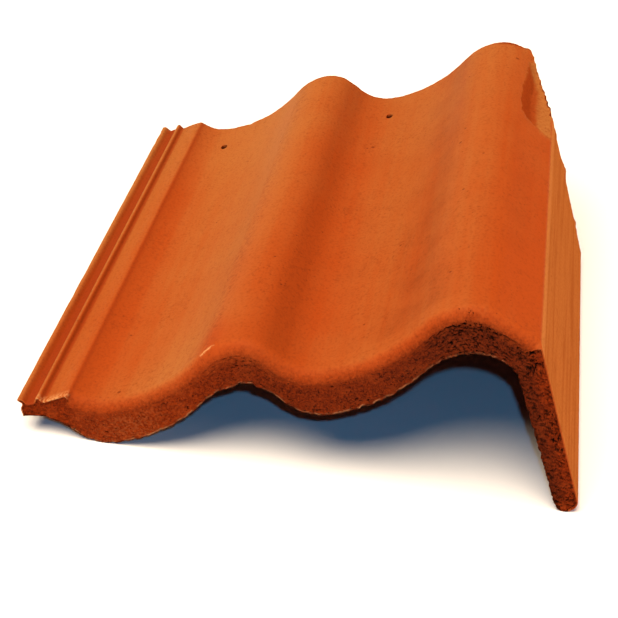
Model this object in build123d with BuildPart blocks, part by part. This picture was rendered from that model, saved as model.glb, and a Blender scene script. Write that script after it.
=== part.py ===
from build123d import *
import os
from math import acos, asin, atan2, copysign, cos, hypot, sin

# Right-hand verge tile of a double-wave concrete roof, one pressed piece.
# Sections are drawn as the eave end shows them: across is measured from the side lap's outer
# edge to the right, and rise from the low line of the pans, along the tile's own normal.
# The tile is stored as it lies on a floor, leaning on its flange. All sizes in millimetres.

# Whole tile
TILE_LENGTH = 420.0
WALL = 14.0

# Waves: a pan low, a gentle flank up to the crest, and a steep flank down to the next pan
WAVES = 2
WAVE_PITCH = 150.0
WAVE_HEIGHT = 31.7
STEEP_RUN = 53.4
STEEP_STRAIGHT = 10.5
STEEP_CREST_RADIUS = 26.0
GENTLE_STRAIGHT = 8.0
GENTLE_CREST_RADIUS = 47.0

# Side lap on the left: lip, water groove, rib, step down, rising floor, land, then the first pan
LIP_RISE = 13.7
LIP_WIDTH = 3.5
LIP_DRAFT = 0.3
GROOVE_DEPTH = 4.6
GROOVE_FLOOR = 5.5
GROOVE_SLOPE = 2.6
RIB_RISE = 12.9
RIB_WIDTH = 2.4
RIB_STEP = 4.0
STEP_SLOPE = 1.5
CHANNEL_WIDTH = 14.9
LAND_RISE = 11.3
LAND_WIDTH = 4.0
PAN_RUN = 26.2
LAP_UNDER_RADIUS = 34.0

# Shoulder from the last crest down to the crease, and the flange that hangs from it
SHOULDER_RUN = 44.0
SHOULDER_RADIUS = 31.0
CREASE_DROP = 2.0
FLANGE_LENGTH = 322.0
FLANGE_DROP = 133.5
FLANGE_ROOT = 19.0
ROOT_FALL = 20.0
TIP_RADIUS = 8.0

# Nose: the thick bar at the eave end, with its bull-nosed upper edge
NOSE_LENGTH = 26.0
NOSE_THICK = 32.0
NOSE_SHIFT = 4.0
BULLNOSE_RADIUS = 9.0

# Head end: nail holes, hanging nibs, and the rebate that the next tile's flange laps over
NAIL_RADIUS = 2.5
NAIL_FROM_HEAD = 37.0
NIB_WIDTH = 44.0
NIB_LENGTH = 18.0
NIB_FROM_HEAD = 8.0
HEAD_TAPER = 16.5
REBATE_LENGTH = 126.0
REBATE_FROM_FACE = 21.0
REBATE_HEAD_FROM_FACE = 17.5
REBATE_TOP_RISE = 19.0
REBATE_DEPTH = 11.0
REBATE_WALL_RUN = 4.0
REBATE_FLOOR_FALL = 0.6

# Places across the section
gentle_run = WAVE_PITCH - STEEP_RUN
groove_left = LIP_WIDTH + GROOVE_SLOPE
groove_right = groove_left + GROOVE_FLOOR
rib_left = groove_right + GROOVE_SLOPE
rib_right = rib_left + RIB_WIDTH
channel_left = rib_right + STEP_SLOPE
land_left = channel_left + CHANNEL_WIDTH
lap_width = land_left + LAND_WIDTH
first_pan = lap_width + PAN_RUN
last_crest = first_pan + (WAVES - 1) * WAVE_PITCH + gentle_run
tile_width = last_crest + SHOULDER_RUN
lap_corner = (LIP_DRAFT, 0)
flange_root = (tile_width - FLANGE_ROOT, WAVE_HEIGHT - NOSE_THICK - ROOT_FALL)
crease = (tile_width, -CREASE_DROP)
tip_centre = (tile_width - TIP_RADIUS, TIP_RADIUS - FLANGE_DROP)
pan_lows = [first_pan + i * WAVE_PITCH for i in range(WAVES)]


def flank(start, end, straight, start_radius):
    """Arc that leaves start level, a straight, and a second arc that reaches end level."""
    run = end[0] - start[0]
    rise = end[1] - start[1]
    turn = 2 * atan2(abs(rise), abs(run) + straight)
    both_radii = (run**2 + rise**2 - straight**2) / (2 * abs(rise))

    def from_end(point, radius, side):
        along = copysign(radius * sin(turn), side * run)
        return (point[0] + along, point[1] + copysign(radius * (1 - cos(turn)), side * rise))

    straight_start = from_end(start, start_radius, 1)
    straight_end = from_end(end, both_radii - start_radius, -1)
    TangentArc(start, straight_start, tangent=(copysign(1, run), 0))
    if straight:
        Line(straight_start, straight_end)
    TangentArc(end, straight_end, tangent=(-copysign(1, run), 0))


def lap_underside(drop, shift):
    """Underside of the side lap, rising from under the first pan to the lap's outer corner."""
    flank((first_pan - shift, -drop), lap_corner, 0, LAP_UNDER_RADIUS)


def wave_line(drop=0.0, shift=0.0, thinned=0.0):
    """Pans and rolls, lowered by drop and moved left by shift, with crests tightened by thinned."""
    for pan in pan_lows:
        crest = (pan - shift + gentle_run, WAVE_HEIGHT - drop)
        flank(crest, (pan - shift, -drop), GENTLE_STRAIGHT, GENTLE_CREST_RADIUS - thinned)
        if pan != pan_lows[-1]:
            next_low = (pan - shift + WAVE_PITCH, -drop)
            flank(crest, next_low, STEEP_STRAIGHT, STEEP_CREST_RADIUS - thinned)


def shoulder_underside(drop, shift):
    """Underside of the last roll's shoulder, turning down into the flange's inner face."""
    crest = (last_crest - shift, WAVE_HEIGHT - drop)
    TangentArc(crest, (flange_root[0], crest[1] - ROOT_FALL), tangent=(1, 0))


def upper_line():
    """Upper outline from the lap's land over the waves and the shoulder to the crease."""
    TangentArc((first_pan, 0), (lap_width, LAND_RISE), tangent=(-1, 0))
    wave_line()
    centre = (last_crest, WAVE_HEIGHT - SHOULDER_RADIUS)
    across = crease[0] - centre[0]
    rise = crease[1] - centre[1]
    facing = atan2(rise, across) + acos(SHOULDER_RADIUS / hypot(across, rise))
    leaving = (centre[0] + SHOULDER_RADIUS * cos(facing), centre[1] + SHOULDER_RADIUS * sin(facing))
    TangentArc((last_crest, WAVE_HEIGHT), leaving, tangent=(1, 0))
    Line(leaving, crease)


def lap_line():
    """Upper outline of the side lap, from its lower outer corner to the end of the land."""
    Polyline(
        lap_corner,
        (0, LIP_RISE),
        (LIP_WIDTH, LIP_RISE),
        (groove_left, LIP_RISE - GROOVE_DEPTH),
        (groove_right, LIP_RISE - GROOVE_DEPTH),
        (rib_left, RIB_RISE),
        (rib_right, RIB_RISE),
        (channel_left, RIB_RISE - RIB_STEP),
        (land_left, LAND_RISE),
        (lap_width, LAND_RISE),
    )


def nose_outline():
    """Whole section at the eave, without the hanging part of the flange."""
    lap_line()
    upper_line()
    Polyline(crease, (tile_width, flange_root[1]), flange_root)
    shoulder_underside(NOSE_THICK, NOSE_SHIFT)
    wave_line(NOSE_THICK, NOSE_SHIFT)
    lap_underside(NOSE_THICK, NOSE_SHIFT)


# The floor touches two rounds, the flange's tip and the nose under the first pan: the lean about
# the length is the slope of the line that touches both from below.
foot_centre = (first_pan - NOSE_SHIFT, LAP_UNDER_RADIUS - NOSE_THICK)
foot_to_tip = (tip_centre[0] - foot_centre[0], tip_centre[1] - foot_centre[1])
closing = asin((TIP_RADIUS - LAP_UNDER_RADIUS) / hypot(*foot_to_tip))
lean = closing - atan2(foot_to_tip[1], foot_to_tip[0])
floor_level = sin(lean) * tip_centre[0] + cos(lean) * tip_centre[1] - TIP_RADIUS
left_reach = -sin(lean) * LIP_RISE
right_reach = cos(lean) * tip_centre[0] - sin(lean) * tip_centre[1] + TIP_RADIUS
across_dir = (cos(lean), 0, sin(lean))
normal_dir = (-sin(lean), 0, cos(lean))
corner = (-(left_reach + right_reach) / 2, -TILE_LENGTH / 2, -floor_level)

# Section planes face the eave; the plan plane lies in the tile with its second axis to the head
eave = Plane(origin=corner, x_dir=across_dir, z_dir=(0, -1, 0))
plan = Plane(origin=corner, x_dir=across_dir, z_dir=normal_dir)


def station(from_eave):
    """Section plane at a distance up the tile from the eave end."""
    return eave.offset(-from_eave)


section_reach = tile_width + FLANGE_DROP

with BuildPart() as verge_tile:
    # Pans, rolls and shoulder as a thick block, so that the nose can be rounded along its edge
    with BuildSketch(station(TILE_LENGTH)) as cover_section:
        with BuildLine():
            nose_outline()
        make_face()
        with Locations((lap_width, 0)):
            Rectangle(
                section_reach, 2 * section_reach, align=(Align.MIN, Align.CENTER), mode=Mode.INTERSECT
            )
    extrude(amount=TILE_LENGTH)
    eave_edges = verge_tile.edges().filter_by_position(Axis.Y, corner[1], corner[1])
    with BuildLine(mode=Mode.PRIVATE) as nose_edge:
        upper_line()
    middles = [eave.from_local_coords(line @ 0.5) for line in nose_edge.edges()]
    on_nose = [
        edge for edge in eave_edges if any((edge @ 0.5 - spot).length < WALL / 100 for spot in middles)
    ]
    fillet(on_nose, BULLNOSE_RADIUS)

    # Side lap, cut off square at the eave
    with BuildSketch(station(TILE_LENGTH)) as lap_section:
        with BuildLine():
            nose_outline()
        make_face()
        with Locations((lap_width, 0)):
            Rectangle(
                section_reach, 2 * section_reach, align=(Align.MAX, Align.CENTER), mode=Mode.INTERSECT
            )
    extrude(amount=TILE_LENGTH)

    # Hollow underside behind the nose
    with BuildSketch(station(TILE_LENGTH)) as hollow_section:
        with BuildLine():
            lap_underside(WALL, 0)
            wave_line(WALL, 0, WALL)
            shoulder_underside(WALL, 0)
            Polyline(
                (flange_root[0], WAVE_HEIGHT - WALL - ROOT_FALL),
                (flange_root[0], -section_reach),
                (lap_corner[0], -section_reach),
                lap_corner,
            )
        make_face()
    extrude(amount=TILE_LENGTH - NOSE_LENGTH, mode=Mode.SUBTRACT)

    # Flange, which stops short of the head
    with BuildSketch(station(FLANGE_LENGTH)) as flange_section:
        with BuildLine():
            face_end = (tile_width, tip_centre[1])
            inner_end = (tip_centre[0] - TIP_RADIUS, tip_centre[1])
            Polyline(inner_end, flange_root, (tile_width, flange_root[1]), face_end)
            ThreePointArc(face_end, (tip_centre[0], -FLANGE_DROP), inner_end)
        make_face()
    extrude(amount=FLANGE_LENGTH)

    # Hanging nibs under the pans, as low as the nose where the tile lies on the floor
    with BuildSketch(station(TILE_LENGTH - NIB_FROM_HEAD)) as nib_section:
        nib_low = (floor_level - sin(lean) * (first_pan - NIB_WIDTH / 2)) / cos(lean)
        nib_top = -WALL / 2
        with Locations(*[(pan, nib_low) for pan in pan_lows]):
            Rectangle(NIB_WIDTH, nib_top - nib_low, align=(Align.CENTER, Align.MIN))
    extrude(amount=NIB_LENGTH)

    # Head lap: the shoulder tapers in towards the head, and a rebate runs along it
    with BuildSketch(plan) as taper:
        with BuildLine():
            Polyline(
                (tile_width, FLANGE_LENGTH),
                (tile_width + HEAD_TAPER, FLANGE_LENGTH),
                (tile_width + HEAD_TAPER, TILE_LENGTH),
                (tile_width - HEAD_TAPER, TILE_LENGTH),
                close=True,
            )
        make_face()
    extrude(amount=section_reach, both=True, mode=Mode.SUBTRACT)
    rebate_ends = (
        (TILE_LENGTH - REBATE_LENGTH, REBATE_FROM_FACE),
        (TILE_LENGTH, REBATE_HEAD_FROM_FACE),
    )
    for from_eave, from_face in rebate_ends:
        with BuildSketch(station(from_eave)) as rebate_section:
            edge = tile_width - from_face
            foot = (edge + REBATE_WALL_RUN, REBATE_TOP_RISE - REBATE_DEPTH)
            out = 2 * REBATE_FROM_FACE
            with BuildLine():
                Polyline(
                    foot,
                    (foot[0] + out, foot[1] - REBATE_FLOOR_FALL * out),
                    (foot[0] + out, foot[1] + 3 * REBATE_DEPTH),
                    (foot[0] - 3 * REBATE_WALL_RUN, foot[1] + 3 * REBATE_DEPTH),
                    close=True,
                )
            make_face()
    loft(ruled=True, mode=Mode.SUBTRACT)

    # One nail hole low in each pan, square to the tile
    with BuildSketch(plan) as nail_holes:
        with Locations(*[(pan, TILE_LENGTH - NAIL_FROM_HEAD) for pan in pan_lows]):
            Circle(NAIL_RADIUS)
    extrude(amount=2 * WALL, both=True, mode=Mode.SUBTRACT)

verge_tile.part.label = "verge_tile"
os.makedirs("parts", exist_ok=True)
export_step(verge_tile.part, "parts/verge_tile.step")
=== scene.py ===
# %% [markdown]
# # A verge tile of pressed concrete
# The object is the right-hand edge tile of a roof: two rolls and two pans, a side lap on the left
# and a flange that hangs over the gable. It is pressed from coloured concrete in one go, so it is
# one piece here too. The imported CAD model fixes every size, and this script gives it its skin.

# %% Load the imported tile
import math

import bmesh
import bpy
import numpy as np
from mathutils import Matrix, Vector, noise
from mathutils.bvhtree import BVHTree


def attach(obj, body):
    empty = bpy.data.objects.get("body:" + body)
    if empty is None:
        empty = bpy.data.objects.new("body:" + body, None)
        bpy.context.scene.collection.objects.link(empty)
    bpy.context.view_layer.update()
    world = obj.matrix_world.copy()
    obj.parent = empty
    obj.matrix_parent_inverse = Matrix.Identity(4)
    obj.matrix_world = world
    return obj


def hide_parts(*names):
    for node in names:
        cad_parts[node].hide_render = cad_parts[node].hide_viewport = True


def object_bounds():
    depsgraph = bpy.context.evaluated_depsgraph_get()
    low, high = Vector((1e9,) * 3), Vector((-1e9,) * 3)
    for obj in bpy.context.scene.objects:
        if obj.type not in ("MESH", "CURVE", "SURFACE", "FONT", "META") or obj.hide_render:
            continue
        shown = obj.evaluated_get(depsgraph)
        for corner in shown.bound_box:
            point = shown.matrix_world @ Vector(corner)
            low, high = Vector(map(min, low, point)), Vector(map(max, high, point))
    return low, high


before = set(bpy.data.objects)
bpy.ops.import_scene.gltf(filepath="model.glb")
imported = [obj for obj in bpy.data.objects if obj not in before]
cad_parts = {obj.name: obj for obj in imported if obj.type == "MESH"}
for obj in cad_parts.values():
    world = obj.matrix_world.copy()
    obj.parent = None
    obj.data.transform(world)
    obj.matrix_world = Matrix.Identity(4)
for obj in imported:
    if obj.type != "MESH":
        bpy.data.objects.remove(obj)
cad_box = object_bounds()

print("CAD box in mm", [[round(1000 * x, 1) for x in corner] for corner in cad_box])

# %% [markdown]
# ## The tile's own axes
# The tile lies on the floor as it would unheld, leaning on its flange. Its section is easier to
# draw square to the tile, so all shapes are given in millimetres as across (from the outer edge of
# the side lap), rise (above the low line of the pans) and up (from the eave end). Two functions
# take such points into the row frame and back.

# %% Tile axes
MM = 0.001
LEAN = math.radians(19.2284)
CORNER = np.array((-0.185664, -0.210, 0.012615))
ACROSS = np.array((math.cos(LEAN), 0.0, math.sin(LEAN)))
RISE = np.array((-math.sin(LEAN), 0.0, math.cos(LEAN)))


def to_row(across, rise, up):
    """Tile measures in millimetres as places in the row frame, in metres."""
    across, rise, up = np.broadcast_arrays(across, rise, up)
    place = CORNER + MM * (across[..., None] * ACROSS + rise[..., None] * RISE)
    place[..., 1] += MM * up
    return place


def to_tile(place):
    """Places in the row frame as across, rise and up, in millimetres."""
    off = (place - CORNER) / MM
    return off @ ACROSS, off @ RISE, off[..., 1]


print("the tile leans by", round(math.degrees(LEAN), 1), "degrees")

# %% [markdown]
# ## Camera
# The photograph was taken from a little above, a step to the right of the tile's middle. A
# pinhole camera was fitted to the tile's outline, and its place, aim, tilt and lens are set here
# as plain values. A track-to constraint could aim it too, but it can't give the small roll.

# %% Make the camera
CAMERA_PLACE = Vector((0.0936, -0.9874, 0.6485))
CAMERA_AIM = Vector((-0.0088, -0.1031, 0.0600))
CAMERA_ROLL = math.radians(4.26)
CAMERA_LENS = 87.8


def add_object(name, data):
    """Object with that data, linked to the scene."""
    made = bpy.data.objects.new(name, data)
    bpy.context.scene.collection.objects.link(made)
    return made


ahead = (CAMERA_AIM - CAMERA_PLACE).normalized()
level = ahead.cross(Vector((0, 0, 1))).normalized()
upright = level.cross(ahead)
camera_right = math.cos(CAMERA_ROLL) * level + math.sin(CAMERA_ROLL) * upright
camera_up = camera_right.cross(ahead)
camera = add_object("camera", bpy.data.cameras.new("camera"))
camera.data.lens = CAMERA_LENS
camera.matrix_world = Matrix.Translation(CAMERA_PLACE) @ Matrix(
    (camera_right, camera_up, -ahead)
).transposed().to_4x4()
bpy.context.scene.camera = camera
print("camera looks down by", round(math.degrees(math.asin(-ahead.z)), 1), "degrees")

# %% [markdown]
# ## Lines of the section
# A roller forms the upper face of a real tile and a mould the underside, so the section is made
# of arcs and short straights. Each line is drawn in runs between the same key places: lap corner,
# pan, crest, pan, crest, crease and flange tip. A point on the upper line then finds its partner
# on the underside by its share of the run.

# %% Arcs and flanks
LAP_CORNER, FIRST_PAN, PITCH, CREST_RISE, STEEP = (0.3, 0.0), 63.2, 150.0, 31.7, 53.4
LAP_WIDTH, TILE_WIDTH, TILE_LENGTH, WALL = 37.0, 353.8, 420.0, 14.0
GENTLE_STRAIGHT, GENTLE_RADIUS, STEEP_STRAIGHT, STEEP_RADIUS = 8.0, 47.0, 10.5, 26.0
ARC_POINTS = 40


def bow(run, fall, turn):
    """Arc of radius 1 that leaves level towards run and bends towards fall."""
    t = np.linspace(0, turn, ARC_POINTS)
    return np.column_stack([np.sign(run) * np.sin(t), np.sign(fall) * (1 - np.cos(t))])


def flank(start, end, straight, start_radius):
    """Line from start to end, level at both: an arc, a straight and a second arc."""
    run, fall = end[0] - start[0], end[1] - start[1]
    arc = bow(run, fall, 2 * math.atan2(abs(fall), abs(run) + straight))
    end_radius = (run**2 + fall**2 - straight**2) / (2 * abs(fall)) - start_radius
    last = np.array(end) - end_radius * arc
    return np.vstack([np.array(start) + start_radius * arc, last[::-1]])


def swing(start, end):
    """Arc that leaves start level and goes through end."""
    run, fall = end[0] - start[0], end[1] - start[1]
    radius = (run**2 + fall**2) / (2 * abs(fall))
    return np.array(start) + radius * bow(run, fall, 2 * math.atan2(abs(fall), abs(run)))


def wave_runs(drop, shift, thinned):
    """Runs pan to crest, crest to pan and pan to crest, lowered, moved left and tightened."""
    low = [np.array((FIRST_PAN - shift + i * PITCH, -drop)) for i in (0, 1)]
    top = [p + (PITCH - STEEP, CREST_RISE) for p in low]
    gentle = [
        flank(t, p, GENTLE_STRAIGHT, GENTLE_RADIUS - thinned)[::-1] for t, p in zip(top, low)
    ]
    steep = flank(top[0], low[1], STEEP_STRAIGHT, STEEP_RADIUS - thinned)
    return [gentle[0], steep, gentle[1]]


print("one roll is", round(float(np.ptp(wave_runs(0, 0, 0)[0][:, 1])), 1), "mm high")

# %% Upper line and the two undersides
LAST_CREST = (FIRST_PAN + 2 * PITCH - STEEP, CREST_RISE)
CREASE = (TILE_WIDTH, -2.0)
TIP_RADIUS, TIP_RISE = 8.0, -125.5
ROOT, ROOT_TOP, ROOT_FALL = (TILE_WIDTH - 19.0, -20.3), -9.6, 20.0
NOSE_THICK, NOSE_SHIFT = 32.0, 4.0
SHOULDER_RADIUS, LAP_RISE, LAP_UNDER_RADIUS = 31.0, 11.3, 34.0
LAP_TOP = [
    (0.0, 13.7), (3.5, 13.7), (6.1, 9.1), (11.6, 9.1), (14.2, 12.9),
    (16.6, 12.9), (18.1, 8.9), (33.0, LAP_RISE),
]

quarter = np.radians(np.linspace(0, 90, 16))
tip_middle = np.array((TILE_WIDTH - TIP_RADIUS, TIP_RISE))
outer_tip = tip_middle + TIP_RADIUS * np.column_stack([np.cos(quarter), -np.sin(quarter)])
inner_tip = tip_middle + TIP_RADIUS * np.column_stack([-np.cos(quarter), -np.sin(quarter)])
shoulder_middle = np.array((LAST_CREST[0], CREST_RISE - SHOULDER_RADIUS))
to_crease = np.array(CREASE) - shoulder_middle
bend_end = math.atan2(to_crease[1], to_crease[0])
bend_end = bend_end + math.acos(SHOULDER_RADIUS / np.hypot(*to_crease))
bend = np.linspace(math.pi / 2, bend_end, ARC_POINTS)
shoulder = shoulder_middle + SHOULDER_RADIUS * np.column_stack([np.cos(bend), np.sin(bend)])
pan_edge = swing((FIRST_PAN, 0.0), (LAP_WIDTH, LAP_RISE))[::-1]
under_shoulder = swing(
    (LAST_CREST[0], CREST_RISE - WALL), (ROOT[0], CREST_RISE - WALL - ROOT_FALL)
)
flange_inside = np.vstack([[ROOT], inner_tip])

upper_runs = [
    np.vstack([[LAP_CORNER], LAP_TOP, pan_edge]),
    *wave_runs(0, 0, 0),
    np.vstack([shoulder, [CREASE]]),
    np.vstack([[CREASE], outer_tip]),
]
body_runs = [
    flank((FIRST_PAN, -WALL), LAP_CORNER, 0, LAP_UNDER_RADIUS)[::-1],
    *wave_runs(WALL, 0, WALL),
    np.vstack([under_shoulder, [(ROOT[0], ROOT_TOP)]]),
    flange_inside,
]
nose_runs = [
    flank((FIRST_PAN - NOSE_SHIFT, -NOSE_THICK), LAP_CORNER, 0, LAP_UNDER_RADIUS)[::-1],
    *wave_runs(NOSE_THICK, NOSE_SHIFT, 0),
    swing((LAST_CREST[0] - NOSE_SHIFT, CREST_RISE - NOSE_THICK), ROOT),
    flange_inside,
]
print("upper face, hollow underside and nose have", len(upper_runs), "runs each")

# %% Even columns
COLUMNS = (110, 96, 62, 96, 64, 140)
ROOT_COLUMNS = 24


def spread(runs, counts):
    """Evenly spaced points along each run, joined into one line."""
    line = []
    for run, count in zip(runs, counts):
        far = np.concatenate([[0], np.cumsum(np.hypot(*np.diff(run, axis=0).T))])
        at = np.linspace(0, far[-1], count, endpoint=False)
        line.append(np.column_stack([np.interp(at, far, run[:, i]) for i in (0, 1)]))
    return np.vstack([*line, runs[-1][-1:]])


upper, body_under, nose_under = (spread(r, COLUMNS) for r in (upper_runs, body_runs, nose_runs))

# Down the flange both undersides share their points, so no thin fold is left between them.
crease_column = sum(COLUMNS[:5])
settle = np.clip(1 - np.arange(COLUMNS[5] + 1) / ROOT_COLUMNS, 0, 1)[:, None]
body_under[crease_column:] = nose_under[crease_column:] + settle * (0.0, ROOT_TOP - ROOT[1])
print("section lines have", len(upper), "columns")

# %% [markdown]
# ## Soft corners
# Nothing on wet-pressed concrete is knife sharp. The lap's small ribs and the long crease between
# shoulder and flange are eased by averaging neighbouring points of the upper line a few times,
# which works on any line and needs no bevel that might fold over itself on the narrow ribs.

# %% Ease the corners
LAP_COLUMNS, LAP_TIMES, CREASE_REACH, CREASE_TIMES = 84, 2, 5, 8


def ease(line, first, last, times):
    """Averages the points from first to last with their neighbours."""
    for _ in range(times):
        before, after = line[first - 1 : last - 1], line[first + 1 : last + 1]
        line[first:last] = (before + 2 * line[first:last] + after) / 4


ease(upper, 1, LAP_COLUMNS, LAP_TIMES)
ease(upper, crease_column - CREASE_REACH, crease_column + CREASE_REACH + 1, CREASE_TIMES)
along = np.gradient(upper, axis=0)
inward = np.column_stack([along[:, 1], -along[:, 0]]) / np.hypot(*along.T)[:, None]
thick = np.hypot(*(nose_under - upper).T)
print("nose is", thick[5:-5].min().round(1), "to", thick.max().round(1), "mm thick")

# %% [markdown]
# ## The pressed sheet
# The tile is a bent slab, so its mesh is drawn as one closed strip of rows for every column of the
# section: along the upper face to the eave, round the bull-nose, down the front, under the nose,
# up its back wall, along the hollow underside and up the head end. That gives an even net of
# quads, fine where the front is rough. Extruding a curve would leave long thin faces instead.

# %% Rows from the head to the front
BULLNOSE, NOSE_LENGTH, CUT_EASE, BULL_SHARE = 9.0, 26.0, 0.8, 0.3
BODY_ROWS, NECK_ROWS, BULL_ROWS, FRONT_ROWS, BACK_ROWS, HEAD_ROWS = 42, 4, 14, 40, 3, 4
ROW_CROWDING = 1.3

coated_top = (upper[:, 0] > LAP_WIDTH) & (np.arange(len(upper)) < crease_column)
bull = np.where(coated_top, BULLNOSE, CUT_EASE)
bull = np.convolve(np.pad(bull, 2, mode="edge"), np.ones(5) / 5, mode="valid")
bull = np.minimum(bull, BULL_SHARE * thick)[:, None]

turn = np.linspace(0, math.pi / 2, BULL_ROWS + 1)
body_share = np.linspace(0, 1, BODY_ROWS, endpoint=False) ** ROW_CROWDING
body_up = TILE_LENGTH - (TILE_LENGTH - NOSE_LENGTH) * body_share
neck_up = NOSE_LENGTH + np.linspace(0, 1, NECK_ROWS, endpoint=False) * (bull - NOSE_LENGTH)
bull_up = bull * (1 - np.sin(turn))
side_up = np.hstack([np.tile(body_up, (len(upper), 1)), neck_up, bull_up])
flat_rows = np.zeros((len(upper), BODY_ROWS + NECK_ROWS))
depth = np.hstack([flat_rows, bull * (1 - np.cos(turn))])
upper_rows = upper[:, None] + depth[..., None] * inward[:, None]
print("upper face has", upper_rows.shape[1], "rows")

# %% Rows of the closed strip
def between(start, end, count):
    """Points from start to end without start, for every column."""
    share = np.linspace(0, 1, count + 1)[1:, None]
    return start[:, None] + share * (end - start)[:, None]


front_rows = between(upper_rows[:, -1], nose_under, FRONT_ROWS)
nose_rows = np.repeat(nose_under[:, None], NECK_ROWS + BULL_ROWS, axis=1)
back_rows = between(nose_under, body_under, BACK_ROWS)
body_rows = np.repeat(body_under[:, None], BODY_ROWS, axis=1)
head_rows = between(body_under, upper, HEAD_ROWS)
section = np.concatenate(
    [upper_rows, front_rows, nose_rows, back_rows, body_rows, head_rows], axis=1
)
back_up = side_up[:, ::-1]
nose_end = NECK_ROWS + BULL_ROWS + 1
up = np.hstack([
    side_up,
    np.zeros((len(upper), FRONT_ROWS)),
    back_up[:, 1:nose_end],
    np.full((len(upper), BACK_ROWS), NOSE_LENGTH),
    back_up[:, nose_end:],
    np.full((len(upper), HEAD_ROWS), TILE_LENGTH),
])
print("strip of", section.shape[1], "rows:", section.shape[0] * section.shape[1], "points")

# %% [markdown]
# ## Rough front, ragged edges
# The eave end is struck off with a knife while the concrete is wet. It tears open grains and
# pores, and it leaves the lower edge ragged, while the coated upper face stays smooth. Here the
# points themselves are moved, always inwards so that the tile keeps its size: fractal noise for the
# grain, and cells of varied size for the pores. A bump map alone would leave a clean outline.

# %% Soft steps, humps and grain
NOISE_SEED = 7
noise.seed_set(NOISE_SEED)


def smooth(low, high, value):
    """Soft step from 0 at low to 1 at high."""
    t = np.clip((value - low) / (high - low), 0, 1)
    return t * t * (3 - 2 * t)


def bell(value, middle, width):
    """Smooth hump of height 1 round a middle value."""
    return np.exp(-(((value - middle) / width) ** 2))


def grain(points, size, octaves=3):
    """Fractal noise from about -1 to 1 at points in millimetres, with lumps of that size."""
    return np.array([noise.fractal(Vector(p) / size, 1.0, 2.0, octaves) for p in points])


print("the noise starts from seed", NOISE_SEED)

# %% Ways along the section and round the nose
length_along = np.concatenate([[0], np.cumsum(np.hypot(*np.diff(upper, axis=0).T))])


def to_upper(across, rise):
    """Nearest column of the upper line, and the distance to it."""
    nearest, below = np.zeros(len(across), int), np.zeros(len(across))
    for part in np.array_split(np.arange(len(across)), 60):
        gap = np.hypot(across[part, None] - upper[:, 0], rise[part, None] - upper[:, 1])
        nearest[part], below[part] = gap.argmin(axis=1), gap.min(axis=1)
    return nearest, below


def nose_arc(below):
    """Way round the bull-nose and down the front, from the depth below the upper line."""
    round_it = BULLNOSE * np.arccos(np.clip(1 - below / BULLNOSE, 0, 1))
    return round_it + np.clip(below - BULLNOSE, 0, None)


print("upper line is", round(float(length_along[-1])), "mm long from lap to flange tip")

# %% Torn pores
FIRST_ROLL, SECOND_PAN, LAST_ROLL, FLANGE_TOP, FLANGE_RIM = 160, 215, 312, 346, 350
PORE_CELLS = ((3.6, 0.6), (2.1, 0.75))
PORE_WARP, WARP_SIZE = 1.8, 2.2


def pores(across, rise):
    """Depth of the torn pores in the front, from 0 to 1: most in the last roll and the flange."""
    many = 0.05 + 0.45 * bell(across, LAST_ROLL, 28) * bell(rise, 14, 16)
    many += 0.10 * bell(across, FIRST_ROLL, 30)
    many += 0.50 * bell(across, FLANGE_TOP, 9) * bell(rise, -12, 14)
    many += 0.40 * bell(across, FLANGE_RIM, 5) * bell(rise, -72, 22)
    deep = np.zeros(len(across))
    for i, (u, w) in enumerate(zip(across, rise)):
        here = Vector((u, w, 0.0))
        warped = here + PORE_WARP * noise.noise_vector(here / WARP_SIZE)
        for cell, flat_by in PORE_CELLS:
            near, seeds = noise.voronoi(Vector((warped.x / cell, warped.y / cell / flat_by, 0.0)))
            chance = 0.5 + 0.5 * noise.noise(seeds[0] * 37.3)
            if chance < 0.22 + 0.62 * many[i]:
                size = 0.24 + 0.26 * many[i] + 0.10 * math.sin(91.0 * chance)
                deep[i] = max(deep[i], min(1.0, max(0.0, 1.5 * (1 - near[0] / size))))
    return deep


print("pores come in cells of", [cell for cell, _ in PORE_CELLS], "mm")

# %% Rolled layers and loose crumbs
ROLL_CRUMB, FLANGE_CRUMB, CRUMB_GAP = (3.4, 1.9), (2.4, 2.8), 0.16


def layers(across, rise):
    """Cracks from 0 to 1: rolled layers follow the upper face, struck ridges cross the flange."""
    nearest, below = to_upper(across, rise)
    on_roll = np.column_stack([length_along[nearest] / 6.0, below / 0.95, np.zeros(len(below))])
    crossing = np.column_stack(
        [across / 3.8, (rise + 0.55 * across) / 1.6, np.full(len(rise), 5.0)]
    )
    in_roll = bell(across, LAST_ROLL, 32) + 0.55 * bell(across, FIRST_ROLL, 30) + 0.15
    hanging = smooth(-8, -16, rise) * (across > 330)
    rolled = np.clip(2.2 * (grain(on_roll, 1.0, 2) - 0.18), 0, 1) * np.clip(in_roll, 0, 1)
    struck_over = np.clip(1.9 * (grain(crossing, 1.0, 2) - 0.02), 0, 1)
    return (1 - hanging) * rolled + hanging * struck_over


def crumbs(across, rise):
    """Dark gaps between loose crumbs, from 0 to 1: in the last roll and down the flange's edge."""
    nearest, below = to_upper(across, rise)
    loose = bell(across, 309, 29) * smooth(22, 12, below)
    loose += 0.8 * bell(across, 345, 8) * bell(rise, -12, 12)
    loose += 0.9 * bell(across, FLANGE_RIM, 5) * bell(rise, -74, 22)
    gaps = np.zeros(len(across))
    for i in np.flatnonzero(loose > 0.05):
        cell = FLANGE_CRUMB if rise[i] < -6 else ROLL_CRUMB
        here = Vector((length_along[nearest[i]] / cell[0], below[i] / cell[1], 0.0))
        near, _ = noise.voronoi(here + 0.45 * noise.noise_vector(here * 1.3))
        patch = max(0.0, min(1.0, 0.5 + 0.9 * noise.noise(here / 2.2)))
        gaps[i] = max(0.0, min(1.0, 1.25 - (near[1] - near[0]) / CRUMB_GAP)) * patch
    return gaps * np.clip(loose, 0, 1)


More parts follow.
